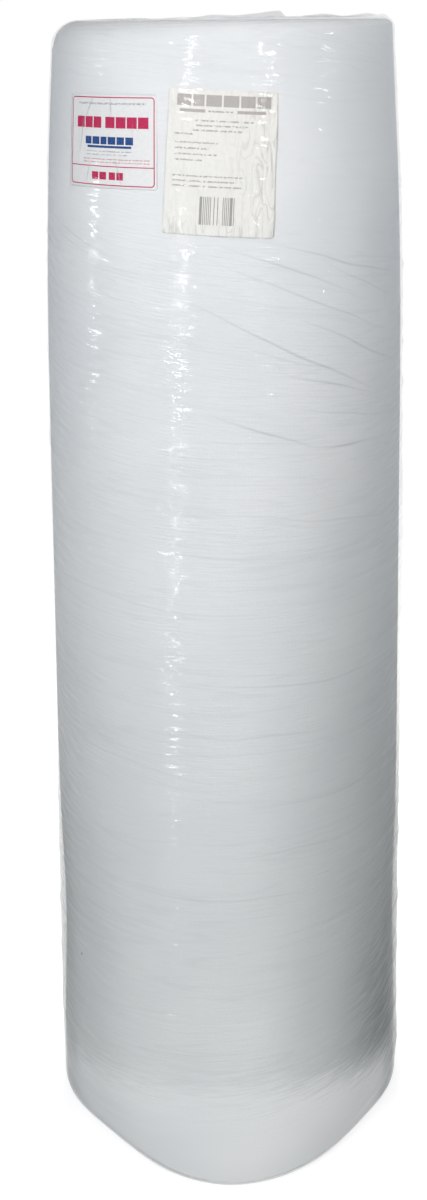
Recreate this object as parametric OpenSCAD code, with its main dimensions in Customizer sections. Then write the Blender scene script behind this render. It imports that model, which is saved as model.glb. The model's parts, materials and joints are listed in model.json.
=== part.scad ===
// Roll of closed-cell foam sheet, standing on its end in clear stretch film.
// Millimetres. +Z runs up the roll's axis, the origin is on the floor at the
// centre of the lower end, and the labels face -Y.

/* [Foam sheet] */
// Width of the sheet, which is the height of the roll
sheet_w = 1219.2; // [600:0.1:1800]
// Length of the sheet wound on the roll
sheet_l = 25908; // [12000:1:60000]
// Thickness of the sheet before it is wound
sheet_t = 4.76; // [3:0.01:10]
// Thickness that each turn loses to the winding tension
wind_squeeze = 0.42; // [0:0.01:0.8]

/* [Roll] */
// Diameter of the open centre
bore_d = 76.2; // [50:0.1:150]
// How far the film draws the outer turns in at the upper end
neck_in = 12; // [1:0.5:24]
// Height of the drawn-in stretch below the upper rim
neck_h = 350; // [150:1:500]
// Radius of the soft rim at the upper end
top_rim_r = 22; // [8:0.5:32]
// Radius of the soft rim at the lower end
bottom_rim_r = 24; // [8:0.5:32]
// Width of the groove between two turns on the ends
groove_w = 1.4; // [0.4:0.1:2]
// Depth of the groove between two turns on the ends
groove_h = 2; // [0.5:0.1:4]

/* [Stretch film] */
// Thickness of the film, all its plies and the air between them
film_t = 0.5; // [0.3:0.05:1.5]
// Room between the labels and the film
film_clear = 0.3; // [0.2:0.05:0.6]
// How far the film is folded over the upper end, past the rim
top_fold = 46; // [10:1:80]
// How far the film is tucked under the lower end, past the rim
bottom_fold = 40; // [10:1:80]
// Room between the tucked film's edge and the turns that stand on the floor
tuck_clear = 1.5; // [0.5:0.1:6]
// How far the tucked film stays off the floor
floor_clear = 0.3; // [0.1:0.05:1]

/* [Labels] */
// Thickness of the label paper
label_t = 0.2; // [0.1:0.05:0.4]
// Room between the foam and a label
label_gap = 0.3; // [0.1:0.05:0.6]
// Radius of a label's corners
label_corner_r = 2.5; // [1:0.5:6]
// Width of the bordered product label
product_w = 114; // [60:1:150]
// Height of the bordered product label
product_h = 92; // [50:1:150]
// Turn of the product label round the roll, from the front
product_turn = -37.5; // [-90:0.5:90]
// Height of the product label's centre below the upper end
product_drop = 117; // [110:1:400]
// Lean of the product label, anticlockwise
product_lean = 0.5; // [-10:0.5:10]
// Width of the plain address label
address_w = 108; // [60:1:150]
// Height of the plain address label
address_h = 139.7; // [50:0.1:180]
// Turn of the address label round the roll, from the front
address_turn = -1; // [-90:0.5:90]
// Height of the address label's centre below the upper end
address_drop = 136; // [130:1:400]
// Lean of the address label, anticlockwise
address_lean = -3; // [-10:0.5:10]

/* [Hidden] */
$fn = 180;

bore_r = bore_d / 2;
turn_t = sheet_t - wind_squeeze;
// The wound turns fill as large a section as the edge of the whole sheet.
roll_r = sqrt(bore_r * bore_r + sheet_l * turn_t / PI);
neck_r = roll_r - neck_in;
turns = round((roll_r - bore_r) / turn_t);

// The labels lie on the foam, and the film passes over them.
film_in = label_gap + label_t + film_clear;
film_out = film_in + film_t;

// The inner turns stand on the floor. The tucked film lifts the outer ones.
foam_z1 = sheet_w;
lift_z = floor_clear + film_out;
tuck_r = roll_r - bottom_rim_r - bottom_fold;
turn_step = (roll_r - bore_r) / turns;
stand_r = bore_r + turn_step * floor((tuck_r - tuck_clear - bore_r) / turn_step);
neck_z1 = foam_z1 - top_rim_r;
neck_z0 = neck_z1 - neck_h;

// Straight steps that a rim, the neck and a label's height are drawn in.
rim_steps = 12;
neck_steps = 10;
label_steps = 6;

// Radius of the roll's side at a height: straight below, drawn in above.
function side_r(z) = roll_r - neck_in * pow(max(0, z - neck_z0) / neck_h, 2);

// Points of a quarter rim about its centre, from one angle to another.
function rim(centre, r, from, to) = [
    for (i = [0 : rim_steps])
        let (a = from + (to - from) * i / rim_steps)
            centre + r * [cos(a), sin(a)]
];

// The roll's outer line from the upper end to the lower one, moved out by off.
function outer_line(off) = concat(
    rim([neck_r - top_rim_r, neck_z1], top_rim_r + off, 90, 0),
    [for (i = [neck_steps - 1 : -1 : 0])
        let (z = neck_z0 + neck_h * i / neck_steps) [side_r(z) + off, z]],
    rim([roll_r - bottom_rim_r, lift_z + bottom_rim_r], bottom_rim_r + off, 0, -90)
);

// How far a soft rim of radius rim_r lies below its end at radius r.
function rim_drop(r, end_r, rim_r) =
    let (x = max(0, r - end_r + rim_r)) rim_r - sqrt(rim_r * rim_r - x * x);

function reversed(points) = [for (i = [len(points) - 1 : -1 : 0]) points[i]];

module rounded_rect(w, h, r) {
    square([w - 2 * r, h], center = true);
    square([w, h - 2 * r], center = true);
    for (x = [-1, 1], y = [-1, 1])
        translate([x * (w / 2 - r), y * (h / 2 - r)]) circle(r);
}

// The gap between two turns: its mouth on the end at height z, up is 1 or -1.
module turn_groove(r, z, up) {
    mouth_z = z + up * (lift_z + top_rim_r + bottom_rim_r);
    polygon([
        [r - groove_w / 2, mouth_z],
        [r - groove_w / 2, z],
        [r, z - up * groove_h],
        [r + groove_w / 2, z],
        [r + groove_w / 2, mouth_z]
    ]);
}

module foam_roll() {
    top_step = (neck_r - bore_r) / turns;
    color("whitesmoke")
        rotate_extrude()
            difference() {
                polygon(concat(
                    [[bore_r, foam_z1]],
                    outer_line(0),
                    [[stand_r, lift_z], [stand_r, 0], [bore_r, 0]]
                ));
                for (i = [1 : turns - 1]) {
                    top_r = bore_r + i * top_step;
                    turn_groove(top_r, foam_z1 - rim_drop(top_r, neck_r, top_rim_r), 1);
                    r = bore_r + i * turn_step;
                    lift = r < stand_r - turn_step / 2 ? 0 : lift_z;
                    turn_groove(r, lift + rim_drop(r, roll_r, bottom_rim_r), -1);
                }
            }
}

module stretch_film() {
    top_r = neck_r - top_rim_r - top_fold;
    function film_line(off) = concat(
        [[top_r, foam_z1 + off]], outer_line(off), [[tuck_r, lift_z - off]]
    );
    color("lightcyan", 0.35)
        rotate_extrude()
            polygon(concat(film_line(film_in), reversed(film_line(film_out))));
}

// A paper label that follows the foam's side, under the film.
module label(w, h, turn, drop, lean) {
    z = foam_z1 - drop;
    reach = norm([w, h]) / 2;
    function label_line(off) = [
        for (i = [-label_steps : 2 : label_steps])
            let (at = z + reach * i / label_steps) [side_r(at) + off, at]
    ];
    // The paper is cut flat, so its width runs along the arc.
    chord = 2 * roll_r * sin(w / roll_r * 90 / PI);
    intersection() {
        rotate_extrude()
            polygon(concat(label_line(label_gap), reversed(label_line(label_gap + label_t))));
        rotate([0, 0, turn])
            translate([0, 0, z])
                rotate([90, 0, 0])
                    linear_extrude(roll_r + film_in)
                        rotate(lean) rounded_rect(chord, h, label_corner_r);
    }
}

module product_label() {
    color("white")
        label(product_w, product_h, product_turn, product_drop, product_lean);
}

module address_label() {
    color("linen")
        label(address_w, address_h, address_turn, address_drop, address_lean);
}

foam_roll();
stretch_film();
product_label();
address_label();
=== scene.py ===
"""Dresses the packed foam roll: wound sheet, paper labels, stretch film and stage.

Metres, +Z up, front at -Y.
"""

import json
import math

import bpy
import numpy as np
from bpy.props import FloatProperty, FloatVectorProperty, IntProperty, PointerProperty
from bpy.types import Operator, Panel, PropertyGroup
from mathutils import Matrix, Vector


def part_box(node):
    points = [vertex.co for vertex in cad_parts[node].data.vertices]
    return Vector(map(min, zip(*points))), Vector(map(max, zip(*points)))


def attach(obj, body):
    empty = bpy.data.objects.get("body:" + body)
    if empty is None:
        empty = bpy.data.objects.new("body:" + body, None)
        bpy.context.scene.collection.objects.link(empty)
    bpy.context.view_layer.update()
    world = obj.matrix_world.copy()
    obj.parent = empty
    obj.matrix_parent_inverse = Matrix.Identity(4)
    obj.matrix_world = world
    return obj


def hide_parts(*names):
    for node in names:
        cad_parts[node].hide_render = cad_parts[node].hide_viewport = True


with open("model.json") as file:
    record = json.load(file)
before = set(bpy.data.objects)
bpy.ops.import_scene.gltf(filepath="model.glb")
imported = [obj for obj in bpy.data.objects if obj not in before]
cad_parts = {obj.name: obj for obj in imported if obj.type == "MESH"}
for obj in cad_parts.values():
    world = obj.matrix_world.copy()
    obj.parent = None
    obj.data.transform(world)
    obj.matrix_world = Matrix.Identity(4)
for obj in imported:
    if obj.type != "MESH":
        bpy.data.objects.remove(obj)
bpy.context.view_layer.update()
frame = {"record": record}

bl_info = {
    "name": "Insulation Foam Roll",
    "version": (1, 0, 0),
    "blender": (4, 5, 0),
    "location": "3D View > Sidebar > Foam Roll",
    "description": "Winds a foam sheet into a roll and wraps it in stretch film over its labels",
    "category": "Object",
}

FOAM_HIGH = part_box("foam_roll")[1]
BORE_MOUNT = next(m for m in frame["record"]["mounts"] if m["name"] == "bore")

MM = 0.001
IMAGE_W, IMAGE_H = 427, 1200
FULL_TURN = 2 * math.pi


def linear(code):
    """An sRGB hex colour as linear red, green and blue."""
    parts = [int(code[i:i + 2], 16) / 255 for i in (1, 3, 5)]
    return tuple(c / 12.92 if c <= 0.04045 else ((c + 0.055) / 1.055) ** 2.4 for c in parts)


def length(name, description, default):
    return FloatProperty(name=name, description=description, default=default, unit="LENGTH", precision=4)


def angle(name, description, degrees):
    return FloatProperty(name=name, description=description, default=math.radians(degrees), unit="ROTATION")


def colour(name, description, code):
    return FloatVectorProperty(
        name=name, description=description, default=linear(code), subtype="COLOR", size=3, min=0, max=1
    )


class FoamSettings(PropertyGroup):
    """Sizes of the wound foam sheet."""

    radius: length("Roll radius", "Outer radius of the roll below its neck", FOAM_HIGH.x)
    height: length("Height", "Width of the sheet, which is the roll's height", FOAM_HIGH.z)
    bore: length("Bore radius", "Radius of the open centre", BORE_MOUNT["dims"]["r_mm"] * MM)
    turns: IntProperty(name="Turns", description="Turns of sheet on the roll", default=36, min=2)
    turn_gap: length("Turn gap", "Air between two turns", 0.2 * MM)
    edge_round: length("Edge round", "Soft rounding of the sheet's cut edges", 0.4 * MM)
    stagger: length("Stagger", "How far the turns stand out of line on the upper end", 2.2 * MM)
    sink: length("Sink", "How far the film presses the outer turn in", 0.6 * MM)
    tail_angle: angle("Tail angle", "Where the sheet's free end lies, from the front", 205)
    neck_in: length("Neck", "How far the film draws the upper end in", 12 * MM)
    neck_height: length("Neck height", "Height of the drawn-in stretch", 350 * MM)
    waist_in: length("Waist", "How far the film presses the foam in near the foot", 8 * MM)
    waist_z: length("Waist height", "Height of the waist above the floor", 215 * MM)
    waist_spread: length("Waist spread", "Half height of the waist", 105 * MM)
    top_rim: length("Upper rim", "Radius of the soft rim at the upper end", 22 * MM)
    bottom_rim: length("Lower rim", "Radius of the soft rim at the lower end", 24 * MM)
    foot_in: length("Foot", "How far the film draws the foot in to either side of the front", 11 * MM)
    lift: length("Lift", "How far the tucked film lifts the outer turns", 1.6 * MM)
    stand_radius: length("Standing radius", "Radius inside which the turns stand on the floor", 124.1 * MM)
    tone: colour("Foam", "Colour of the foam", "#ECECEB")
    # Colour of the painted shade low down, on the sides and on the right of the foam.
    painted_shade: colour("Dust", "Colour of the dust near the floor", "#626C6A")
    # Colour of the painted shade along the creases and fine rings, and of the one speck of dirt.
    crease_shade_and_speck: colour("Crease", "Colour of the foam where a crease of the film presses it", "#4A5862")


class FilmSettings(PropertyGroup):
    """Sizes of the stretch film."""

    stand_off: length("Stand-off", "Room between the foam and the film on the side", 1.9 * MM)
    tuck_off: length("Tuck stand-off", "Room between the foam and the film under the roll", 1.0 * MM)
    top_fold: length("Upper fold", "How far the film is folded over the upper end", 46 * MM)
    tuck: length("Lower tuck", "How far the film is tucked under the lower end", 40 * MM)
    columns: IntProperty(name="Columns", description="Mesh columns round the roll", default=240, min=24)
    side_rows: IntProperty(name="Rows", description="Mesh rows up the side", default=350, min=24)
    crimp: length("Crimp", "Height of the small crimps", 0.4 * MM)
    seed: IntProperty(name="Seed", description="Seed of the crimps", default=7)
    tone: colour("Film", "Colour of the film", "#6A7378")


class ProductLabelSettings(PropertyGroup):
    """Sizes of the bordered product label."""

    width: length("Width", "Width of the label, along the arc", 114 * MM)
    height: length("Height", "Height of the label", 92 * MM)
    turn: angle("Turn", "Turn of the label round the roll, from the front", -37.5)
    drop: length("Drop", "Height of the label's centre below the upper end", 117 * MM)
    lean: angle("Lean", "Lean of the label, anticlockwise", 0.5)
    paper: colour("Paper", "Colour of the paper", "#DCDAD8")
    ink: colour("Ink", "Colour of the border and the bars", "#B10448")
    second_ink: colour("Second ink", "Colour of the band", "#023A78")


class AddressLabelSettings(PropertyGroup):
    """Sizes of the plain address label."""

    width: length("Width", "Width of the label, along the arc", 108 * MM)
    height: length("Height", "Height of the label", 139.7 * MM)
    turn: angle("Turn", "Turn of the label round the roll, from the front", -1)
    drop: length("Drop", "Height of the label's centre below the upper end", 136 * MM)
    lean: angle("Lean", "Lean of the label, anticlockwise", -3)
    paper: colour("Paper", "Colour of the paper", "#F8F4EC")
    ink: colour("Ink", "Colour of the faded print", "#A89D96")


class StageSettings(PropertyGroup):
    """Camera and light of the stage."""

    eye_distance: length("Eye distance", "Distance from the roll's axis to the camera", 1.5806)
    eye_height: length("Eye height", "Height of the camera above the floor", 1.2195)
    pitch: angle("Pitch", "How far the camera looks down", 8.17)
    roll: angle("Roll", "Turn of the camera about its view, anticlockwise", -0.42)
    focal_px: FloatProperty(name="Focal length", description="Focal length in picture pixels", default=1467)
    centre_px: FloatVectorProperty(
        name="Optical centre", description="Optical centre in picture pixels", size=2, default=(224.5, 230)
    )
    floor_half: length("Floor", "Half width of the floor", 9)
    sky: FloatProperty(name="Sky", description="Strength of the soft light from all sides", default=0.1)
    sky_tone: colour("Sky tone", "Colour of the soft light from all sides", "#EAF3FA")
    floor_tone: colour("Floor tone", "Colour of the floor", "#E6E6E6")


# Nodes and meshes


def feed(node, inputs):
    """Puts constants on a node's inputs, or links them to a socket or to another node's first output."""
    for name, value in inputs.items() if isinstance(inputs, dict) else enumerate(inputs):
        if isinstance(value, bpy.types.Node):
            value = value.outputs[0]
        if isinstance(value, bpy.types.NodeSocket):
            node.id_data.links.new(value, node.inputs[name])
        else:
            node.inputs[name].default_value = value


def adder(tree):
    """The function that adds one node to a tree."""

    def add(kind, inputs=(), operation=None, **settings):
        """Inputs go by name or in order. A kind with no Node in its name is a shader node."""
        made = tree.nodes.new(kind if "Node" in kind else "ShaderNode" + kind)
        if operation:
            made.operation = operation
        for name, value in settings.items():
            setattr(made, name, value)
        feed(made, inputs)
        return made

    return add


def bare_tree(owner):
    """The emptied node tree of a material or a world."""
    owner.use_nodes = True
    owner.node_tree.nodes.clear()
    return owner.node_tree


def new_material(name):
    """A bare material, the adder of its nodes and its Principled shader."""
    material = bpy.data.materials.new(name)
    add = adder(bare_tree(material))
    shader = add("BsdfPrincipled")
    add("OutputMaterial", {"Surface": shader})
    return material, add, shader


def drawn_noise(add, at, cell, dimensions="3D", detail=1.0, distortion=0.0):
    """Noise with its cells drawn out to a size."""
    drawn = add("Mapping", {"Vector": at, "Scale": [1 / size for size in cell]})
    inputs = {"Vector": drawn, "Scale": 1.0, "Detail": detail, "Distortion": distortion}
    return add("TexNoise", inputs, noise_dimensions=dimensions)


def middle_lines(add, noise, half, depth):
    """Thin lines along the middle level of a noise: depth on the line, and 0 from half on."""
    off = add("Math", (noise, 0.5), "SUBTRACT")
    off = add("Math", (off,), "ABSOLUTE")
    return add("MapRange", (off, 0.0, half, depth, 0.0))


def soft_noise(u, v, wrap, seed):
    """Smooth noise from -1 to 1 on a lattice of one cell to one unit, repeating in u after wrap cells."""
    iu, iv = np.floor(u).astype(int), np.floor(v).astype(int)
    fu, fv = u - iu, v - iv
    fu, fv = fu * fu * (3 - 2 * fu), fv * fv * (3 - 2 * fv)
    low = iv.min()
    table = np.random.default_rng(seed).uniform(-1, 1, (wrap, iv.max() - low + 2))
    near = table[iu % wrap, iv - low] * (1 - fu) + table[(iu + 1) % wrap, iv - low] * fu
    far = table[iu % wrap, iv - low + 1] * (1 - fu) + table[(iu + 1) % wrap, iv - low + 1] * fu
    return near * (1 - fv) + far * fv


def bell(x, width):
    return np.exp(-((x / width) ** 2))


def smooth_step(x, low, high):
    t = np.clip((x - low) / (high - low), 0, 1)
    return t * t * (3 - 2 * t)


def add_object(name, data):
    made = bpy.data.objects.new(name, data)
    bpy.context.scene.collection.objects.link(made)
    return made


def grid_piece(name, points, uv, closed, material):
    """A mesh object from a grid of points, rows upwards and columns to the right seen from outside."""
    rows, columns = points.shape[:2]
    i, j = np.meshgrid(np.arange(rows - 1), np.arange(columns if closed else columns - 1), indexing="ij")
    right = (j + 1) % columns
    low, high = i * columns, (i + 1) * columns
    faces = np.stack([low + j, low + right, high + right, high + j], -1)
    mesh = bpy.data.meshes.new(name)
    mesh.from_pydata(points.reshape(-1, 3).tolist(), [], faces.reshape(-1, 4).tolist())
    corners = np.stack([uv[i, j], uv[i, j + 1], uv[i + 1, j + 1], uv[i + 1, j]], -2)
    mesh.uv_layers.new(name="sheet").uv.foreach_set("vector", corners.astype(np.float32).ravel())
    mesh.shade_smooth()
    mesh.materials.append(material)
    return add_object(name, mesh)


def settle(piece, slot, node):
    """Seats a finished piece on the frame in place of its plain solid."""
    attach(piece, "root")
    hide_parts(node)


def around(theta, r, z):
    """Points at angle theta from the front, radius r and height z."""
    return np.stack([r * np.sin(theta), -r * np.cos(theta), z + 0 * theta], -1)


# Shape of the roll


def neck(z, foam):
    """How far the film draws the side in at a height."""
    start = foam.height - foam.top_rim - foam.neck_height
    return foam.neck_in * np.clip((z - start) / foam.neck_height, 0, 1) ** 2


def waist(theta, z, foam):
    """How far the foam gives way under the film near its foot, more on the left than on the right."""
    share = 0.5 - 0.1 * np.sin(theta)
    return foam.waist_in * share * bell(z - foam.waist_z, foam.waist_spread)


def rim_drop(r, end_r, rim):
    """How far a soft rim lies below its end at radius r."""
    x = np.clip(r - end_r + rim, 0, rim)
    return rim - np.sqrt(rim * rim - x * x)


def from_front(theta):
    """The angle from the front, between minus and plus half a turn."""
    return np.mod(theta + math.pi, FULL_TURN) - math.pi


def top_rim(theta, foam):
    """Radius of the upper rim, which is softer on the left than on the right."""
    return foam.top_rim * (0.86 - 0.42 * np.sin(theta))


def bottom_rim(theta, foam):
    """Radius of the lower rim, which is tight at the front and at the sides."""
    turn = np.abs(from_front(theta))
    return foam.bottom_rim * (1 - 0.75 * bell(turn, 0.5) - 0.6 * bell(turn - 1.4, 0.4))


def foot(theta, z, foam):
    """How far the film draws the foot in at a height."""
    turn = from_front(theta)
    side = 0.9 * bell(turn + 0.8, 0.4) + 0.8 * bell(turn - 0.95, 0.4)
    return foam.foot_in * side * (1 - smooth_step(z, 8 * MM, 60 * MM))


def turn_pitch(foam):
    return (foam.radius - foam.sink - foam.bore) / (foam.turns + 0.5)


def outer_turn(theta, foam):
    """Radius of the outermost turn: largest at the sheet's free end, and smaller to the right of it."""
    past = np.mod(theta - foam.tail_angle, FULL_TURN) / FULL_TURN
    return foam.bore + turn_pitch(foam) * (foam.turns + 1 - past) - foam.turn_gap


def shaped_radius(r, drawn_in, foam):
    """Radius r of the straight roll once the side is drawn in: each turn gives way by its share."""
    return r - drawn_in * (r - foam.bore) / (foam.radius - foam.bore)


# Foam


def side_coordinates(add, foam):
    """A point's place, turn from the front, height, place along the film's pull, and share of crimps."""
    place = add("TexCoord").outputs["Object"]
    at = add("SeparateXYZ", (place,)).outputs
    ahead = add("Math", (at["Y"], -1.0), "MULTIPLY")
    turn = add("Math", (at["X"], ahead), "ARCTAN2")
    height = at["Z"]
    # The pull slants the crimps: up to the right near the floor, down to the right higher up.
    # Behind the roll the slant turns back, so that the crimps meet there.
    depth = add("Math", (at["Y"],), "ABSOLUTE")
    aside = add("Math", (at["X"], depth), "ARCTAN2")
    rising = add("MapRange", (height, 0.08, 0.4, 0.12, 0.0))
    slant = add("MapRange", (height, 0.68, 0.9, rising, -0.12))
    shear = add("Math", (slant, aside), "MULTIPLY")
    level = add("Math", (shear, -foam.radius, height), "MULTIPLY_ADD")
    flow = add("CombineXYZ", (at["X"], at["Y"], level))
    # The film is pulled smooth at the foot, and lies smooth over the labels.
    calm = 0.2
    for start, end, share in ((0.04, 0.13, 1.0), (0.98, 1.03, 0.4), (1.13, 1.17, 0.8)):
        calm = add("MapRange", (height, start, end, calm, share))
    return place, turn, height, flow, calm


# Long creases that the film presses into the foam, drawn as painted shade in the foam's colour.
# Each: turn in degrees and height in millimetres of one end, then of the other, and strength.
SHADED_CREASES = [
    (12, 1007, 68, 954, 0.8),
    (0, 1003, 42, 951, 0.8),
    (-6, 993, 57, 905, 0.7),
    (-11, 947, 51, 848, 1.0),
    (23, 929, 68, 860, 0.8),
    (16, 880, 50, 845, 0.8),
    (-3, 836, 27, 802, 1.0),
    (25, 803, 53, 793, 0.9),
    (-73, 1027, -35, 989, 0.6),
    (-73, 1014, -46, 991, 0.5),
    (4, 742, 64, 700, 0.5),
    (-50, 640, 12, 632, 0.5),
    (-18, 562, 62, 548, 0.6),
    (-64, 470, 6, 452, 0.4),
    (8, 424, 72, 428, 0.6),
    (-40, 322, 34, 325, 0.55),
    (30, 985, 66, 930, 0.5),
    (2, 905, 40, 872, 0.5),
    (18, 845, 62, 812, 0.5),
    (-30, 700, 20, 688, 0.4),
    (-20, 506, 40, 500, 0.5),
    (-5, 372, 60, 376, 0.5),
    (-95, 880, -150, 950, 0.9),
    (-110, 700, -168, 690, 0.7),
    (105, 640, 165, 620, 0.7),
    (96, 300, 160, 322, 0.7),
]


def spot(add, at, centre, size, turn=0.0):
    """A mask that is 1 at a centre and fades to 0 at a size along each axis, turned about Z."""
    axes = {"Vector": at, "Location": centre, "Rotation": (0, 0, turn), "Scale": size}
    local = add("Mapping", axes, vector_type="TEXTURE")
    return add("TexGradient", (local,), gradient_type="SPHERICAL").outputs["Fac"]


def spindles(add, at, lines):
    """A mask of thin lines that taper to their ends. Each line: both ends, half width and strength."""
    mask = 0.0
    for start_x, start_y, end_x, end_y, half, strength in lines:
        start, run = Vector((start_x, start_y, 0)), Vector((end_x - start_x, end_y - start_y, 0))
        near = spot(add, at, start + run / 2, (0.6 * run.length, half, 1), math.atan2(run.y, run.x))
        mask = add("Math", (near, strength, mask), "MULTIPLY_ADD")
    return mask


def crease_shade_lines(add, turn, height, radius, cloud):
    """A mask of painted shade along the long creases on the unrolled side, which wander a few millimetres.
    """
    arc = add("Math", (turn, radius), "MULTIPLY")
    wander = add("Math", (cloud, 0.5), "SUBTRACT")
    level = add("Math", (wander, 18 * MM, height), "MULTIPLY_ADD")
    lines = []
    for turn_a, height_a, turn_b, height_b, strength in SHADED_CREASES:
        arc_a, arc_b = math.radians(turn_a) * radius, math.radians(turn_b) * radius
        half = (1.0 + 0.8 * strength) * MM
        lines.append((arc_a, height_a * MM, arc_b, height_b * MM, half, 1.6 * strength))
    return spindles(add, add("CombineXYZ", (arc, level)), lines)


# Coats of painted shade on the foam, darker low down, on the sides and on the right. Each is a product of
# ramps: measure, low, high, share at low and share at high.
PAINTED_SHADE = [
    # Painted shade: duller low down, and more so on the sides.
    [("aside", 0.1, 0.178, 0.16, 0.29), ("height", 0.25, 0.68, 1.0, 0.0)],
    # Painted shade: greyer on the right.
    [("turn", 0.05, 0.7, 0.0, 0.22), ("turn", 1.9, 2.8, 1.0, 0.0), ("height", 0.45, 0.95, 1.0, 0.0)],
    # Painted shade: dark low on the right, in streaks along the crimps.
    [
        ("turn", 0.5, 1.1, 0.0, 1.0),
        ("turn", 1.35, 1.95, 1.0, 0.0),
        ("height", 0.09, 0.33, 1.0, 0.0),
        ("crimps", 0.35, 0.65, 0.38, 0.2),
    ],
]


def painted_shade_mask(add, turn, height, place, crimps):
    """How much painted shade darkens the foam. Below a slanting, ragged line there is none."""
    at = add("SeparateXYZ", (place,)).outputs
    line = add("Math", (at["Y"], 0.354, height), "MULTIPLY_ADD")
    ragged = add("Math", (crimps, 60 * MM, line), "MULTIPLY_ADD")
    aside = add("Math", (at["X"],), "ABSOLUTE")
    measures = {"turn": turn, "height": height, "crimps": crimps, "aside": aside}
    total = 0.0
    for ramps in PAINTED_SHADE:
        share = 1.0
        for name, *limits in ramps:
            step = add("MapRange", (measures[name], *limits), interpolation_type="SMOOTHSTEP")
            share = add("Math", (share, step), "MULTIPLY")
        total = add("Math", (total, share), "ADD")
    above = add("MapRange", (ragged, 48 * MM, 98 * MM), interpolation_type="SMOOTHSTEP")
    return add("Math", (total, above), "MULTIPLY")


def foam_material(foam):
    """Expanded polyethylene: a matt, cloudy white skin with small cells, creased by the film, with painted
    shade low down, on the right and along the creases.
    """
    material, add, shader = new_material("expanded_polyethylene_foam")
    place, turn, height, flow, calm = side_coordinates(add, foam)
    # Cells are about 1 mm wide, and are drawn 2.5 mm wide so that they show.
    cells = add("TexNoise", {"Vector": place, "Scale": 1 / (2.5 * MM), "Detail": 0})
    cloud = add("TexNoise", {"Vector": place, "Scale": 1 / (110 * MM), "Detail": 1})
    # Crimps are about 30 mm long and 2 mm high. Fine rings run a long way round, with thin lines of painted
    # shade along them.
    crimps = drawn_noise(add, flow, (30 * MM, 30 * MM, 2 * MM))
    rings = drawn_noise(add, flow, (240 * MM, 240 * MM, 13 * MM))
    ring_shade = add("Math", (middle_lines(add, rings, 0.03, 0.05), calm), "MULTIPLY")
    tone = add("ValToRGB", (cloud,))
    for stop, position, shade in zip(tone.color_ramp.elements, (0.3, 0.75), (foam.tone, linear("#F5F4F2"))):
        stop.position, stop.color = position, (*shade, 1)
    painted_shade = painted_shade_mask(add, turn, height, place, crimps)
    # Painted shade: the foam darkens low down, on the sides and on the right.
    shaded_tone = add("MixRGB", (painted_shade, tone, (*foam.painted_shade, 1)))
    creases = crease_shade_lines(add, turn, height, foam.radius, cloud)
    # Painted shade along the creases and the fine rings.
    shade_and_speck = add("Math", (creases, 0.16, ring_shade), "MULTIPLY_ADD")
    # One dark speck of dirt low on the left.
    speck_turn, speck_z, speck_size = math.radians(-60), 202 * MM, 2 * MM
    speck_r = shaped_radius(outer_turn(speck_turn, foam), waist(speck_turn, speck_z, foam), foam)
    speck = spot(add, place, around(speck_turn, speck_r, speck_z), (speck_size,) * 3)
    shade_and_speck = add("Math", (speck, 1.5, shade_and_speck), "MULTIPLY_ADD", use_clamp=True)
    # The bore and the inner turns bear no painted shade and no speck.
    far = add("Mapping", {"Vector": place, "Scale": (1, 1, 0)})
    far = add("VectorMath", (far,), "LENGTH").outputs["Value"]
    outside = add("Math", (far, 165 * MM), "GREATER_THAN")
    shade_and_speck = add("Math", (shade_and_speck, outside), "MULTIPLY")
    # The painted shade and the speck darken the foam towards one colour.
    marked = add("MixRGB", (shade_and_speck, shaded_tone, (*foam.crease_shade_and_speck, 1)))
    relief = add("Math", (cells, 0.3, crimps), "MULTIPLY_ADD")
    busy = add("MapRange", (cloud, 0.35, 0.6, 0.4, 1.0))
    busy = add("Math", (busy, calm), "MULTIPLY")
    bump = add("Bump", {"Height": relief, "Strength": busy, "Distance": 0.7 * MM})
    gloss = {"Roughness": 0.7, "IOR": 1.5, "Specular IOR Level": 0.04}
    feed(shader, {"Base Color": marked, "Normal": bump, **gloss})
    return material


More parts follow.
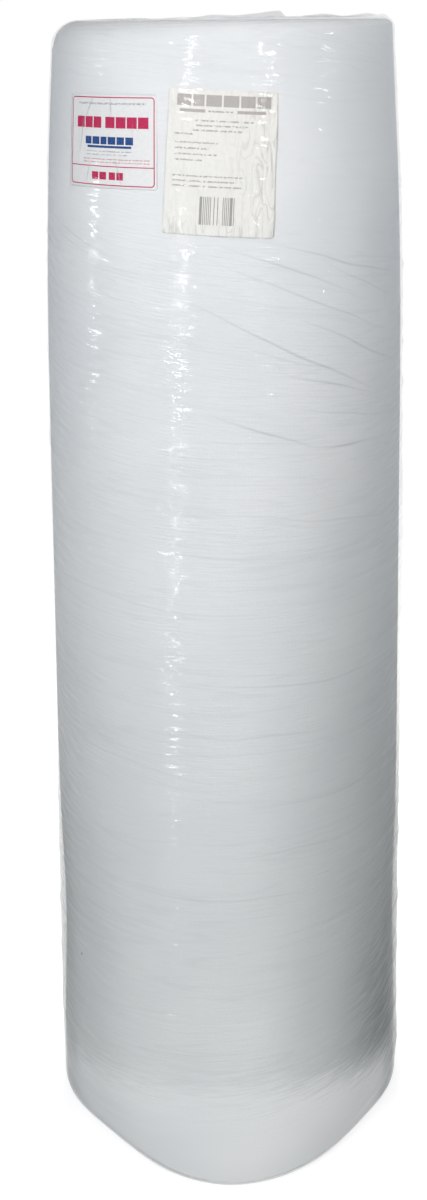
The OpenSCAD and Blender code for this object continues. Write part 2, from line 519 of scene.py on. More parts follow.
def wound_sheet_tree(material, names):
    """Geometry nodes that sweep the sheet's rounded section along a flat spiral."""
    tree = bpy.data.node_groups.new("wound_sheet", "GeometryNodeTree")
    for name in names:
        tree.interface.new_socket(name, in_out="INPUT", socket_type="NodeSocketFloat")
    tree.interface.new_socket("Geometry", in_out="OUTPUT", socket_type="NodeSocketGeometry")
    add = adder(tree)
    size = add("NodeGroupInput").outputs
    points_per_turn, edge_points, side_cuts = 48, 2, 18

    winding = {
        "Resolution": points_per_turn,
        "Rotations": size["Turns"],
        "Start Radius": size["Inner radius"],
        "End Radius": size["Outer radius"],
        "Height": 0.0,
    }
    spiral = add("GeometryNodeCurveSpiral", winding)
    along = add("GeometryNodeSplineParameter").outputs["Length"]
    mark = {"Geometry": spiral, "Name": "wound_length", "Value": along}
    marked = add("GeometryNodeStoreNamedAttribute", mark, data_type="FLOAT", domain="POINT")
    upright = add("GeometryNodeSetCurveNormal", {"Curve": marked}, mode="Z_UP")

    sides = {"Width": size["Thickness"], "Height": size["Width"]}
    section = add("GeometryNodeCurvePrimitiveQuadrilateral", sides)
    corners = {"Curve": section, "Count": edge_points, "Radius": size["Edge round"]}
    rounded = add("GeometryNodeFilletCurve", corners, mode="POLY")
    # The last point of every second corner starts one of the section's two long sides.
    point = add("GeometryNodeInputIndex")
    place = add("Math", (point, 2.0 * (edge_points + 1)), "MODULO")
    starts = add("Math", (place, 2.0 * edge_points + 1, 0.1), "COMPARE")
    cuts = add("Math", (starts, float(side_cuts)), "MULTIPLY")
    stepped = add("GeometryNodeSubdivideCurve", {"Curve": rounded, "Cuts": cuts})
    sweep = {"Curve": upright, "Profile Curve": stepped, "Fill Caps": True}
    swept = add("GeometryNodeCurveToMesh", sweep)
    half = add("Math", (size["Width"], 0.5), "MULTIPLY")
    lift = add("CombineXYZ", {"Z": half})
    spin = add("CombineXYZ", {"Z": size["Tail"]})
    placed = add("GeometryNodeTransform", {"Geometry": swept, "Translation": lift, "Rotation": spin})
    real = add("GeometryNodeRealizeInstances", {"Geometry": placed})
    dressed = add("GeometryNodeSetMaterial", {"Geometry": real, "Material": material})
    add("NodeGroupOutput", {"Geometry": dressed})
    return tree


def plain_mesh(piece):
    """Replaces a piece's modifiers by their result."""
    depsgraph = bpy.context.evaluated_depsgraph_get()
    mesh = bpy.data.meshes.new_from_object(
        piece.evaluated_get(depsgraph), preserve_all_data_layers=True, depsgraph=depsgraph
    )
    mesh.name = piece.name
    piece.modifiers.clear()
    piece.data = mesh
    return mesh


def shape_turns(mesh, foam):
    """Gives the straight winding its neck, waist, soft rims and uneven upper end."""
    count = len(mesh.vertices)
    points = np.empty(count * 3, np.float32)
    mesh.vertices.foreach_get("co", points)
    points = points.reshape(-1, 3).astype(float)
    wound = np.empty(count, np.float32)
    mesh.attributes["wound_length"].data.foreach_get("value", wound)

    r, z = np.hypot(points[:, 0], points[:, 1]), points[:, 2]
    theta = np.arctan2(points[:, 0], -points[:, 1])
    share = np.clip(z / foam.height, 0, 1)
    # Along the sheet the edge rises and falls in short waves on long ones.
    short_wave, long_wave, cells = 0.19, 1.3, 4096
    uneven = foam.stagger * soft_noise(wound / short_wave, 0 * wound, cells, 11)
    uneven += 0.7 * foam.stagger * soft_noise(wound / long_wave, 0 * wound, cells, 12)
    uneven *= 1 - smooth_step(r, foam.radius - 40 * MM, foam.radius - 15 * MM)
    top_r = shaped_radius(r, foam.neck_in, foam)
    high = foam.height - rim_drop(top_r, foam.radius - foam.neck_in, top_rim(theta, foam))
    high = high + np.minimum(uneven, 0)
    low = np.where(r > foam.stand_radius, foam.lift, 0) + rim_drop(r, foam.radius, bottom_rim(theta, foam))
    new_z = low + share * (high - low)
    new_r = shaped_radius(r, neck(new_z, foam) + waist(theta, new_z, foam) + foot(theta, new_z, foam), foam)
    points[:, :2] *= (new_r / r)[:, None]
    points[:, 2] = new_z
    mesh.vertices.foreach_set("co", points.astype(np.float32).ravel())
    mesh.attributes.remove(mesh.attributes["wound_length"])
    mesh.shade_smooth()
    mesh.update()


class FOAMROLL_OT_wind_foam(Operator):
    """Wind the foam sheet into a roll round its open centre"""

    bl_idname = "foam_roll.wind_foam"
    bl_label = "Wind Foam"

    def execute(self, context):
        foam = context.scene.foam_roll_foam
        pitch = turn_pitch(foam)
        thickness = pitch - foam.turn_gap
        values = {
            "Inner radius": foam.bore + thickness / 2,
            "Outer radius": foam.bore + thickness / 2 + pitch * foam.turns,
            "Turns": float(foam.turns),
            "Thickness": thickness,
            "Width": foam.height,
            "Edge round": foam.edge_round,
            "Tail": foam.tail_angle - math.pi / 2,
        }
        tree = wound_sheet_tree(foam_material(foam), values)
        piece = add_object("wound_foam", bpy.data.meshes.new("wound_foam"))
        winding = piece.modifiers.new("Wound sheet", "NODES")
        winding.node_group = tree
        for socket in tree.interface.items_tree:
            if socket.in_out == "INPUT":
                winding[socket.identifier] = values[socket.name]
        mesh = plain_mesh(piece)
        if not mesh.polygons:
            raise RuntimeError("the wound sheet came out empty")
        shape_turns(mesh, foam)
        settle(piece, "foam", "foam_roll")
        return {"FINISHED"}


# Labels


def bar(add, x, y, left, right, low, high):
    """A mask that is 1 inside an upright rectangle."""
    across = add("Math", (x, (left + right) / 2, (right - left) / 2), "COMPARE")
    up = add("Math", (y, (low + high) / 2, (high - low) / 2), "COMPARE")
    return add("Math", (across, up), "MULTIPLY")


def blocks(left, low, high, widths, gap):
    """Rectangles in a row from the left, with a gap between them."""
    row = []
    for width in widths:
        row.append((left, left + width, low, high))
        left += width + gap
    return row


def bars(add, x, y, rectangles):
    """A mask that is 1 inside any of the rectangles."""
    mask, *others = [bar(add, x, y, *rectangle) for rectangle in rectangles]
    for other in others:
        mask = add("Math", (mask, other), "MAXIMUM")
    return mask


def border(add, x, y, width, height, inset, corner, line):
    """A mask of a thin border with round corners, inset from the label's edge, in millimetres."""
    beyond = []
    for at, size in ((x, width), (y, height)):
        centred = add("Math", (at, size / 2), "SUBTRACT")
        folded = add("Math", (centred,), "ABSOLUTE")
        past = add("Math", (folded, size / 2 - inset - corner), "SUBTRACT")
        beyond.append(add("Math", (past, 0.0), "MAXIMUM"))
    corner_at = add("CombineXYZ", beyond)
    away = add("VectorMath", (corner_at,), "LENGTH").outputs["Value"]
    return add("Math", (away, corner, line / 2), "COMPARE")


def broken(add, x, y, mask):
    """Breaks thin lines of print into short runs, so that they read as faint small print."""
    grid = add("CombineXYZ", (x, y))
    kept = add("Math", (drawn_noise(add, grid, (1 / 0.55, 1 / 0.35, 1), "2D"), 0.46), "GREATER_THAN")
    return add("Math", (mask, kept), "MULTIPLY")


def bar_code(add, x, y, left, right, low, high, bar_width):
    """A mask of plain upright bars of uneven width that spell nothing."""
    step = add("Math", (x, bar_width), "DIVIDE")
    whole = add("Math", (step,), "FLOOR")
    chance = add("TexWhiteNoise", {"W": whole}, noise_dimensions="1D").outputs["Value"]
    # Every other step is mostly a bar, and those between are mostly gaps.
    other = add("Math", (whole, 1.0), "PINGPONG")
    limit = add("Math", (other, 0.7, 0.15), "MULTIPLY_ADD")
    dark = add("Math", (chance, limit), "GREATER_THAN")
    return add("Math", (bar(add, x, y, left, right, low, high), dark), "MULTIPLY")


def crumple(add, x, y, width, height):
    """Relief of crumpled paper and painted shade lines along its folds, deepest along the right and bottom
    edges.
    """
    at = add("CombineXYZ", (x, y))
    # Wrinkles are about 7 mm wide and 30 mm long.
    folds = drawn_noise(add, at, (7, 30, 1), "2D", distortion=0.5)
    right = add("MapRange", (x, 0.55 * width, 0.85 * width, 0.25, 1.0))
    bottom = add("MapRange", (y, 0.2 * height, 0.06 * height, 0.0, 1.0))
    deep = add("Math", (right, bottom), "MAXIMUM")
    relief = add("Math", (folds, deep), "MULTIPLY")
    # The second mask is painted shade along the folds.
    return relief, middle_lines(add, folds, 0.05, deep)


def printed_paper(name, label, draw, depth):
    """Uncoated label paper: matt, faintly mottled, with ink that sinks in.

    draw gives the print's masks, with masks of painted fold shade among them, with their inks and
    strengths, and the paper's own relief or None.
    """
    material, add, shader = new_material(name)
    at = add("SeparateXYZ", (add("UVMap", uv_map="sheet"),)).outputs
    place = add("TexCoord").outputs["Object"]
    # Paper fibres clump over about 3 mm.
    fibre = add("TexNoise", {"Vector": place, "Scale": 1 / (3 * MM), "Detail": 4})
    tone = add("ValToRGB", (fibre,))
    for stop, position, share in zip(tone.color_ramp.elements, (0.25, 0.6), (0.93, 1.0)):
        stop.position, stop.color = position, (*(share * c for c in label.paper), 1)
    prints, relief = draw(add, at["X"], at["Y"], label)
    for mask, ink, strength in prints:
        share = add("Math", (mask, strength), "MULTIPLY")
        tone = add("MixRGB", (share, tone, (*ink, 1)))
    height = fibre if relief is None else relief
    bump = add("Bump", {"Height": height, "Strength": 0.9, "Distance": depth})
    feed(shader, {"Base Color": tone, "Normal": bump, "Roughness": 0.6, "Specular IOR Level": 0.05})
    return material


# Painted shade along folds across the product label, in millimetres from its lower left corner.
# Each: both ends, half width and strength.
PRODUCT_FOLD_SHADE = [
    (38, 91, 26, 69, 1.3, 1.2),
    (60, 91, 62, 70, 1.2, 1.0),
    (22, 70, 18, 36, 1.3, 1.1),
    (34, 27, 26, 3, 1.2, 0.9),
    (66, 30, 75, 2, 1.2, 0.9),
    (88, 66, 86, 44, 1.0, 0.5),
]


def product_print(add, x, y, label):
    """On white paper: a crimson border, plain crimson bars, a blue band, small broken lines, and painted
    shade along folds.
    """
    w, h = label.width / MM, label.height / MM
    inset, left, right, divider = 3.2, 9.0, w - 9.0, 21.5
    edge = border(add, x, y, w, h, inset, 3.0, 1.1)
    solid = [
        (inset, w - inset, divider - 0.5, divider + 0.5),
        *blocks(12, h - 33, h - 22, (12, 11, 11), 1.3),
        *blocks(54, h - 33, h - 22, (12, 12, 11.5, 11.5), 1.3),
        *blocks(36, 8.5, 16, (9, 9), 1.5),
        *blocks(59, 8.5, 16, (8, 8), 1.5),
    ]
    crimson = add("Math", (edge, bars(add, x, y, solid)), "MAXIMUM")
    rows = [(left + 14, right + 2, divider + 3.4 + 3 * i, divider + 4.4 + 3 * i) for i in range(2)]
    small_crimson = broken(add, x, y, bars(add, x, y, rows))
    band = bars(add, x, y, [*blocks(26, 43, 50.5, (9, 10, 8, 10, 9, 9), 1.4), (29, 86, 39.5, 41.8)])
    rows = [(28, 87 - 6 * i, 35.5 - 3.2 * i, 36.6 - 3.2 * i) for i in range(2)]
    rows.append((14, right - 3, h - 10.2, h - 8.2))
    small_grey = broken(add, x, y, bars(add, x, y, rows))
    folds = spindles(add, add("CombineXYZ", (x, y)), PRODUCT_FOLD_SHADE)
    prints = [
        (crimson, label.ink, 0.98),
        (small_crimson, label.ink, 0.65),
        (band, label.second_ink, 0.98),
        (small_grey, linear("#6A7480"), 0.6),
        # Painted shade along the folds.
        (folds, linear("#8E989C"), 0.6),
    ]
    return prints, None


def address_print(add, x, y, label):
    """On off-white paper: washed-out grey-brown bars, small broken lines, a bar code, crumples and painted
    shade along their folds.
    """
    w, h = label.width / MM, label.height / MM
    heading = blocks(9, h - 16, h - 5, (14, 11, 15, 15, 14, 14), 1.8)
    heading += blocks(12, h - 22, h - 19, (25, 28), 31)
    line = 1.6
    rows = [(26 + 3 * (i % 2), 84 - 5 * i, 29 + 4.6 * i) for i in range(3)]
    rows += [(8, 27, 42), (40, 64, 19.8)]
    rows += [(9, 50 - 8 * (i % 2) - 6 * (i > 2), 50 + 5.6 * i) for i in range(4)]
    rows += [(8, 76 - 7 * (i == 1), 82 + 4.8 * i) for i in range(3)]
    small = bars(add, x, y, [(a, b, h - drop - line, h - drop) for a, b, drop in rows])
    relief, folds = crumple(add, x, y, w, h)
    prints = [
        (bars(add, x, y, heading), label.ink, 0.75),
        (broken(add, x, y, small), label.ink, 0.75),
        (bar_code(add, x, y, 35, 69, h - 129, h - 102, 0.85), linear("#5E5552"), 0.65),
        # Painted shade along the folds.
        (folds, linear("#A39C92"), 0.32),
    ]
    return prints, relief


def label_piece(name, label, foam, material, wrinkle):
    """A thin sheet of paper laid round the foam. wrinkle gives its relief over the label, in metres."""
    cell, corner, thickness, stand_off = 1.6 * MM, 2.5 * MM, 0.2 * MM, 0.55 * MM
    half_w, half_h = label.width / 2, label.height / 2
    columns, rows = int(label.width / cell) + 1, int(label.height / cell) + 1
    x, y = np.meshgrid(np.linspace(-half_w, half_w, columns), np.linspace(-half_h, half_h, rows))
    # The corner squares are drawn in to quarter discs.
    inner_w, inner_h = half_w - corner, half_h - corner
    past_x, past_y = np.maximum(np.abs(x) - inner_w, 0), np.maximum(np.abs(y) - inner_h, 0)
    shrink = np.maximum(past_x, past_y) / np.maximum(np.hypot(past_x, past_y), 1e-9)
    both = (past_x > 0) & (past_y > 0)
    x = np.where(both, np.sign(x) * (inner_w + past_x * shrink), x)
    y = np.where(both, np.sign(y) * (inner_h + past_y * shrink), y)
    across = x * math.cos(label.lean) - y * math.sin(label.lean)
    up = x * math.sin(label.lean) + y * math.cos(label.lean)
    z = foam.height - label.drop + up
    theta = label.turn + across / (foam.radius - foam.neck_in / 2)
    seat = shaped_radius(outer_turn(theta, foam), neck(z, foam), foam) + stand_off
    points = around(theta, seat + wrinkle(x, y), z)
    uv = np.stack([x + half_w, y + half_h], -1) / MM
    piece = grid_piece(name, points, uv, False, material)
    solid = piece.modifiers.new("Paper thickness", "SOLIDIFY")
    solid.thickness = thickness
    solid.offset = -1
    plain_mesh(piece)
    return piece


def fold_line(x, y, start, end, width):
    """Height from 0 to 1 of a fold along a straight line on a label."""
    run = np.subtract(end, start)
    size = np.hypot(*run)
    along = ((x - start[0]) * run[0] + (y - start[1]) * run[1]) / size
    off = ((x - start[0]) * run[1] - (y - start[1]) * run[0]) / size
    start_share, end_share = (smooth_step(run_in, -4 * MM, 6 * MM) for run_in in (along, size - along))
    return bell(off, width) * start_share * end_share


def product_wrinkles(x, y):
    """Nearly flat paper with three upright creases."""
    relief = 0.12 * MM * soft_noise(x / (14 * MM) + 40, y / (22 * MM), 64, 31)
    creases = [((-21, 43), (-31, 20)), ((6, 46), (3, 22)), ((-40, 8), (-39, -22))]
    for start, end in creases:
        relief = relief + 0.5 * MM * fold_line(x, y, np.multiply(start, MM), np.multiply(end, MM), 1.5 * MM)
    return np.maximum(relief, -0.1 * MM)


def address_wrinkles(x, y):
    """Crumpled paper: upright folds on the right, puckers along the bottom, soft creases elsewhere."""
    right = smooth_step(x, 5 * MM, 45 * MM)
    bottom = smooth_step(-y, 38 * MM, 66 * MM)
    upright = soft_noise(x / (6 * MM) + 40, y / (38 * MM) + 0.08 * x / MM, 64, 41)
    puckers = soft_noise(x / (5 * MM) + 40, y / (12 * MM), 64, 42)
    soft = soft_noise(x / (13 * MM) + 40, y / (30 * MM), 64, 43)
    relief = 0.18 * soft + 0.4 * right * upright + 0.45 * bottom * puckers
    return np.clip(relief, -0.35, 0.75) * MM


class FOAMROLL_OT_lay_labels(Operator):
    """Lay the two paper labels on the foam, under the film"""

    bl_idname = "foam_roll.lay_labels"
    bl_label = "Lay Labels"

    def execute(self, context):
        scene = context.scene
        foam = scene.foam_roll_foam
        product, address = scene.foam_roll_product_label, scene.foam_roll_address_label
        white = printed_paper("white_label_paper", product, product_print, 0.4 * MM)
        cream = printed_paper("cream_label_paper", address, address_print, 2.2 * MM)
        jobs = [
            ("printed_label", product, white, product_wrinkles, "product_label", "label_white"),
            ("address_sheet", address, cream, address_wrinkles, "address_label", "label_cream"),
        ]
        for name, label, material, wrinkle, node, slot in jobs:
            piece = label_piece(name, label, foam, material, wrinkle)
            settle(piece, slot, node)
        return {"FINISHED"}


# Film


def film_material(film, foam, label):
    """Stretched polyethylene film: thin, clear and glossy, with fine crimps that break up its glints."""
    material, add, shader = new_material("clear_stretch_film")
    place, turn, height, flow, calm = side_coordinates(add, foam)
    # Low on both sides several layers lie over each other.
    # The film clings to the printed label and is clearer there.
    one_layer, left_layers, right_layers, clinging = 0.22, 0.52, 0.75, 0.08
    half = label.width / 2 / (foam.radius - foam.neck_in / 2)
    low, high = (foam.height - label.drop + way * label.height / 2 for way in (-1, 1))
    on_label = bar(add, turn, height, label.turn - 0.97 * half, label.turn + half, low, high)
    ramps = [
        (turn, 1.05, 1.4, right_layers),
        (turn, 1.8, 2.4, one_layer),
        (turn, -1.05, -1.4, left_layers),
        (turn, -1.8, -2.4, one_layer),
        (height, 0.3, 0.5, one_layer),
        (on_label, 0.0, 1.0, clinging),
    ]
    alpha = one_layer
    for measure, start, end, share in ramps:
        alpha = add("MapRange", (measure, start, end, alpha, share))
    # Crimps are about 20 mm long and 5 mm high, and lie in patches.
    crimps = drawn_noise(add, flow, (20 * MM, 20 * MM, 5 * MM), detail=0.0)
    patch = add("TexNoise", {"Vector": place, "Scale": 1 / (130 * MM), "Detail": 1})
    busy = add("MapRange", (patch, 0.36, 0.62, 0.6, 1.0))
    busy = add("Math", (busy, calm), "MULTIPLY")
    bump = add("Bump", {"Height": crimps, "Strength": busy, "Distance": 1.9 * MM})
    gloss = {"Roughness": 0.1, "IOR": 1.5, "Specular IOR Level": 1.0}
    feed(shader, {"Base Color": (*film.tone, 1), "Alpha": alpha, "Normal": bump, **gloss})
    return material


# Mesh rows of the film: on the tuck, on each rim and on the fold.
TUCK_ROWS, RIM_ROWS, FOLD_ROWS = 10, 12, 16


def film_rows(theta, foam, film):
    """The film's rows from its tuck up to its fold: radius, height, outward way and stand-off."""
    low_rim, high_rim = bottom_rim(theta, foam), top_rim(theta, foam)
    low_r, low_z, top_z = foam.radius - low_rim, foam.lift + low_rim, foam.height - high_rim
    top_r = foam.radius - neck(top_z, foam) - high_rim
    tuck_r = foam.radius - foam.bottom_rim - film.tuck
    loose = film.stand_off * (1 + 0.4 * np.sin(theta))
    most_slack = 2.5 * MM * np.maximum(np.sin(theta), 0) ** 4
    slack_z, slack_spread = 620 * MM, 120 * MM
    flat = 0 * theta
    rows = []
    for t in np.linspace(0, 1, TUCK_ROWS, endpoint=False):
        rows.append((tuck_r + t * (low_r - tuck_r), flat + foam.lift, flat, flat - 1, flat + film.tuck_off))
    for t in np.linspace(0, 1, RIM_ROWS, endpoint=False):
        across, up = math.sin(t * math.pi / 2), -math.cos(t * math.pi / 2)
        off = film.tuck_off + (loose - film.tuck_off) * t
        rows.append((low_r + low_rim * across, low_z + low_rim * up, flat + across, flat + up, off))
    for t in np.linspace(0, 1, film.side_rows, endpoint=False):
        z = low_z + t * (top_z - low_z)
        slack = most_slack * bell(z - slack_z, slack_spread)
        rows.append((foam.radius - neck(z, foam), z, flat + 1, flat, loose + slack))
    for t in np.linspace(0, 1, RIM_ROWS, endpoint=False):
        across, up = math.cos(t * math.pi / 2), math.sin(t * math.pi / 2)
        rows.append((top_r + high_rim * across, top_z + high_rim * up, flat + across, flat + up, loose))
    for t in np.linspace(0, 1, FOLD_ROWS):
        rows.append((top_r - t * film.top_fold, flat + foam.height, flat, flat + 1, loose))
    return np.array(rows).transpose(1, 0, 2)


# Groups of raised folds on the film. Each: seed, count, heights in metres, turns and slopes in degrees,
# half lengths in metres, height and half width in millimetres.
FOLD_GROUPS = [
    (21, 26, (0.80, 1.06), (-25, 110), (-26, -12), (0.05, 0.16), 1.3, 3.2),
    (22, 60, (0.10, 0.80), (-180, 180), (-6, 6), (0.05, 0.22), 1.0, 3.0),
    (23, 40, (0.80, 1.12), (100, 340), (-20, 8), (0.05, 0.18), 1.1, 3.2),
    (24, 14, (0.03, 0.12), (-180, 180), (-24, 24), (0.05, 0.12), 1.6, 5),
]


def fold_group(theta, z, foam, seed, count, heights, turns, slopes, reach, size, width):
    """Raised folds of the film: count of them, each along a slanting line with soft ends."""
    rng = np.random.default_rng(seed)
    relief = np.zeros_like(z)
    for _ in range(count):
        at_z, at_turn = rng.uniform(*heights), math.radians(rng.uniform(*turns))
        slope, half = math.tan(math.radians(rng.uniform(*slopes))), rng.uniform(*reach)
        bow = rng.uniform(-0.5, 0.5)
        run = from_front(theta - at_turn) * foam.radius
        line = at_z + slope * run + bow * run * run
        ridge = bell(z - line, width * MM * rng.uniform(0.8, 1.4))
        window = np.clip(1 - (run / half) ** 2, 0, 1)
        relief += size * MM * rng.uniform(0.4, 1) * window * ridge
    return relief


def side_relief(theta, z, foam, film):
    """Relief of the film on the roll's side, in metres."""
    turns = theta / FULL_TURN
    busy = 0.5 + 0.5 * smooth_step(np.degrees(from_front(theta)), -70, 0)
    fine = soft_noise(turns * 34, z / (8 * MM) + turns * 3, 34, film.seed)
    middle = soft_noise(turns * 14, z / (19 * MM) - turns * 4, 14, film.seed + 1)
    broad = soft_noise(turns * 5, z / (140 * MM), 5, film.seed + 2)
    relief = busy * film.crimp * (fine + 0.9 * middle) + 0.8 * MM * broad
    for group in FOLD_GROUPS:
        relief += fold_group(theta, z, foam, *group)
    smooth_rim = 1 - smooth_step(z, foam.height - 60 * MM, foam.height - 25 * MM)
    return np.maximum(relief, -0.5 * MM) * smooth_rim


# Waves of the loose hem on the upper rim.
# Each: degrees from the front, height in millimetres, and degrees it spreads to the left and to the right.
HEM_WAVES = [
    (-4, 2.5, 6, 6),
    (8, 2.0, 6, 6),
    (19.5, 5.5, 9, 0.9),
    (35, 2.5, 7, 6),
    (60, 3.0, 11, 8),
    (84, 2.5, 10, 12),
]


def hem(theta):
    """Height of the loose hem above the upper rim."""
    degrees = np.degrees(from_front(theta))
    height = 0.9 * MM * np.maximum(soft_noise(theta / FULL_TURN * 46, 0 * theta, 46, 51), 0)
    height = height * smooth_step(degrees, -25, 0)
    for at, size, left, right in HEM_WAVES:
        off = degrees - at
        height = height + size * MM * bell(off, np.where(off < 0, left, right))
    return height


class FOAMROLL_OT_wrap_film(Operator):
    """Wrap the stretch film round the roll, folded over its upper end and tucked under its lower end"""

    bl_idname = "foam_roll.wrap_film"
    bl_label = "Wrap Film"

    def execute(self, context):
        foam, film = context.scene.foam_roll_foam, context.scene.foam_roll_film
        turn = np.linspace(-math.pi, math.pi, film.columns, endpoint=False)
        radius, height, out_r, out_z, off = film_rows(turn, foam, film)
        theta = np.repeat(turn[None, :], len(radius), 0)
        steps = np.hypot(np.diff(radius, axis=0), np.diff(height, axis=0)).mean(1)
        path = np.concatenate([[0], np.cumsum(steps)])

        # The film bridges the step at the sheet's free end.
        outer = outer_turn(turn, foam)
        reach = 4
        wide = np.max([np.roll(outer, k) for k in range(-reach, reach + 1)], axis=0)
        outer = np.mean([np.roll(wide, k) for k in range(-reach, reach + 1)], axis=0)
        radius = foam.bore + (radius - foam.bore) * (outer - foam.bore) / (foam.radius - foam.bore)
        step = off + side_relief(theta, height, foam, film) * out_r ** 2
        radius = radius + out_r * step - foot(theta, height, foam)
        height = height + out_z * step

        # The fold over the upper end is gathered, and its edge is uneven.
        rim_top = path[-FOLD_ROWS]
        past = np.maximum(path - rim_top, 0)[:, None]
        gather = soft_noise(theta / FULL_TURN * 64, past / (60 * MM), 64, 52)
        edge = soft_noise(theta / FULL_TURN * 23, 0 * theta, 23, 53)
        ragged, hem_spread = 0.22, 9 * MM
        radius = radius - past * ragged * edge
        height = height + hem(theta) * bell(path[:, None] - rim_top, hem_spread)
        height = height + np.maximum(gather, -0.4) * 2.2 * MM * smooth_step(past, 0, 40 * MM)

        points = around(theta, radius, height)
        u = np.linspace(0, FULL_TURN, film.columns + 1) * foam.radius
        uv = np.stack(np.meshgrid(u, path), -1)
        material = film_material(film, foam, context.scene.foam_roll_product_label)
        piece = grid_piece("stretch_wrap", points, uv, True, material)
        settle(piece, "film", "stretch_film")
        return {"FINISHED"}


# Stage

# Soft lamps light the matt surfaces, and small bright ones only glint on the film.
# Each: kind, degrees from the front, distance from the axis, height, height of its aim, width, length,
# watts, and its colour if it isn't white.
LAMPS = [
    ("soft", -8, 1.25, 1.5, 0.75, 0.5, 1.0, 8.2, "#FFEDDC"),
    ("soft", -28, 1.3, 1.3, 0.7, 0.4, 1.0, 11.7, "#E3F1FF"),
    ("soft", 35, 1.3, 1.4, 0.8, 0.4, 1.0, 4.2, "#E3F1FF"),
    ("soft", 75, 1.25, 1.95, 1.05, 0.5, 0.5, 7.6, "#F4F8FF"),
    ("soft", 0, 0.8, 0.12, 0.05, 1.4, 0.16, 2.1, "#FFFEFB"),
    ("soft", 140, 1.7, 1.7, 0.7, 0.8, 0.8, 4.0, "#F6FBFF"),
    ("soft", -140, 1.7, 1.7, 0.7, 0.8, 0.8, 3.0, "#F6FBFF"),
    ("soft", 180, 1.7, 1.3, 0.6, 0.8, 0.8, 28.0, "#FFFDF8"),
    ("glint", -20, 1.7, 1.43, 1.2, 0.3, 0.12, 6.0),
    ("glint", -25, 1.7, 0.82, 0.98, 0.16, 0.05, 1.6),
    ("glint", -27, 1.7, 0.5, 0.88, 0.14, 0.05, 1.6),
    ("glint", -37, 1.7, 0.26, 0.75, 0.14, 0.05, 1.0),
    ("glint", -31, 1.4, 0.07, 0.5, 0.12, 0.05, 1.3),
    ("glint", 31, 1.7, 1.44, 1.2, 0.12, 0.06, 1.4),
    ("glint", 24, 1.7, 1.34, 1.17, 0.12, 0.06, 1.3),
    ("glint", 17, 1.7, 0.86, 1.0, 0.1, 0.03, 0.4),
    ("glint", 70, 1.6, 1.5, 1.2, 0.12, 0.06, 1.0),
    ("glint", 62, 1.6, 1.41, 1.17, 0.12, 0.05, 0.8),
    ("glint", -84, 1.4, 0.93, 1.02, 0.1, 0.05, 0.9),
    ("glint", -86, 1.4, 0.66, 0.92, 0.08, 0.05, 0.5),
]


def add_lamp(kind, turn, distance, height, aim, width, long, watts, code="#FFFFFF"):
    data = bpy.data.lights.new(f"{kind}_lamp", "AREA")
    data.shape = "RECTANGLE"
    data.size, data.size_y = width, long
    data.energy = watts
    data.color = linear(code)
    lamp = add_object(data.name, data)
    at = Vector(around(math.radians(turn), distance, height))
    lamp.location = at
    lamp.rotation_euler = (Vector((0, 0, aim)) - at).to_track_quat("-Z", "Y").to_euler()
    lamp.visible_camera = False
    lamp.visible_diffuse = kind == "soft"
    lamp.visible_glossy = kind == "glint"


def seen_white(add):
    """1 for the rays that show the background: those of the camera, of reflections and through glass."""
    path = add("LightPath").outputs
    seen = add("Math", (path["Is Camera Ray"], path["Is Glossy Ray"]), "MAXIMUM")
    return add("Math", (seen, path["Is Transmission Ray"]), "MAXIMUM")


def set_world(scene, stage):
    world = bpy.data.worlds.new("studio")
    add = adder(bare_tree(world))
    sky = add("Background", {"Color": (*stage.sky_tone, 1), "Strength": stage.sky})
    white = add("Background", {"Color": (1, 1, 1, 1), "Strength": 1.0})
    mixed = add("MixShader", (seen_white(add), sky, white))
    add("OutputWorld", {"Surface": mixed})
    scene.world = world


def add_floor(stage):
    """A pale floor that the camera sees as white, with the roll's shadow on it."""
    half = stage.floor_half
    mesh = bpy.data.meshes.new("floor")
    corners = [(-half, -half, 0), (half, -half, 0), (half, half, 0), (-half, half, 0)]
    mesh.from_pydata(corners, [], [(0, 1, 2, 3)])
    material, add, shader = new_material("pale_floor")
    feed(shader, {"Base Color": (*stage.floor_tone, 1), "Roughness": 0.9, "Specular IOR Level": 0.0})
    glow = add("Emission", {"Color": (1, 1, 1, 1), "Strength": 1.4})
    # The glow gives way a little round the roll, where its shadow falls.
    place = add("TexCoord").outputs["Object"]
    far = add("VectorMath", (place,), "LENGTH").outputs["Value"]
    share = add("MapRange", (far, 0.25, 1.0, 0.55, 0.75))
    share = add("Math", (seen_white(add), share), "MULTIPLY")
    mixed = add("MixShader", (share, shader, glow))
    output = next(n for n in shader.id_data.nodes if n.bl_idname == "ShaderNodeOutputMaterial")
    feed(output, {"Surface": mixed})
    mesh.materials.append(material)
    add_object("floor", mesh)


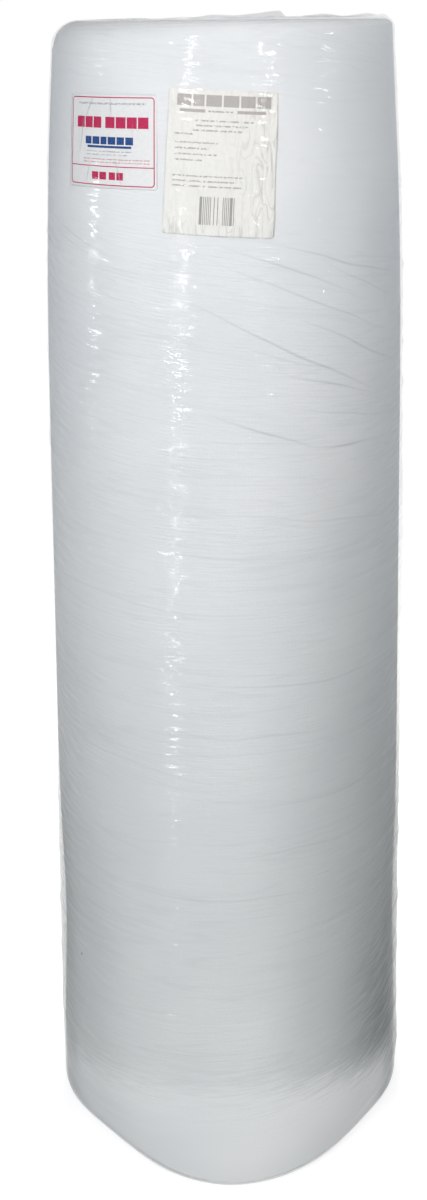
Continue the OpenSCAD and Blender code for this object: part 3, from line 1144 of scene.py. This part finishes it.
def add_camera(scene, stage):
    data = bpy.data.cameras.new("camera")
    data.sensor_width = 36.0
    data.lens = stage.focal_px / IMAGE_H * data.sensor_width
    data.shift_x = (IMAGE_W / 2 - stage.centre_px[0]) / IMAGE_H
    data.shift_y = (stage.centre_px[1] - IMAGE_H / 2) / IMAGE_H
    camera = add_object("camera", data)
    camera.matrix_world = (
        Matrix.Translation((0, -stage.eye_distance, stage.eye_height))
        @ Matrix.Rotation(math.pi / 2 - stage.pitch, 4, "X")
        @ Matrix.Rotation(stage.roll, 4, "Z")
    )
    scene.camera = camera


class FOAMROLL_OT_set_stage(Operator):
    """Set up the camera, the floor and the studio light"""

    bl_idname = "foam_roll.set_stage"
    bl_label = "Set Stage"

    def execute(self, context):
        scene, stage = context.scene, context.scene.foam_roll_stage
        scene.view_settings.view_transform = "Standard"
        set_world(scene, stage)
        add_floor(stage)
        for lamp in LAMPS:
            add_lamp(*lamp)
        add_camera(scene, stage)
        return {"FINISHED"}


# Add-on

SETTINGS = {
    "foam_roll_foam": FoamSettings,
    "foam_roll_film": FilmSettings,
    "foam_roll_product_label": ProductLabelSettings,
    "foam_roll_address_label": AddressLabelSettings,
    "foam_roll_stage": StageSettings,
}
OPERATORS = [FOAMROLL_OT_wind_foam, FOAMROLL_OT_lay_labels, FOAMROLL_OT_wrap_film, FOAMROLL_OT_set_stage]


class FOAMROLL_PT_sidebar(Panel):
    """Lists the roll's settings and the steps that build it"""

    bl_idname = "FOAMROLL_PT_sidebar"
    bl_label = "Foam Roll"
    bl_space_type = "VIEW_3D"
    bl_region_type = "UI"
    bl_category = "Foam Roll"

    def draw(self, context):
        for name, group in SETTINGS.items():
            box = self.layout.box()
            box.label(text=group.__doc__)
            for key in group.__annotations__:
                box.prop(getattr(context.scene, name), key)
        for operator in OPERATORS:
            self.layout.operator(operator.bl_idname)


CLASSES = [*SETTINGS.values(), *OPERATORS, FOAMROLL_PT_sidebar]


def register():
    for item in CLASSES:
        bpy.utils.register_class(item)
    for name, group in SETTINGS.items():
        setattr(bpy.types.Scene, name, PointerProperty(type=group))


def unregister():
    for name in SETTINGS:
        delattr(bpy.types.Scene, name)
    for item in reversed(CLASSES):
        bpy.utils.unregister_class(item)


def main():
    register()
    bpy.ops.foam_roll.set_stage()
    bpy.ops.foam_roll.wind_foam()
    bpy.ops.foam_roll.lay_labels()
    bpy.ops.foam_roll.wrap_film()


if __name__ == "__main__":
    main()
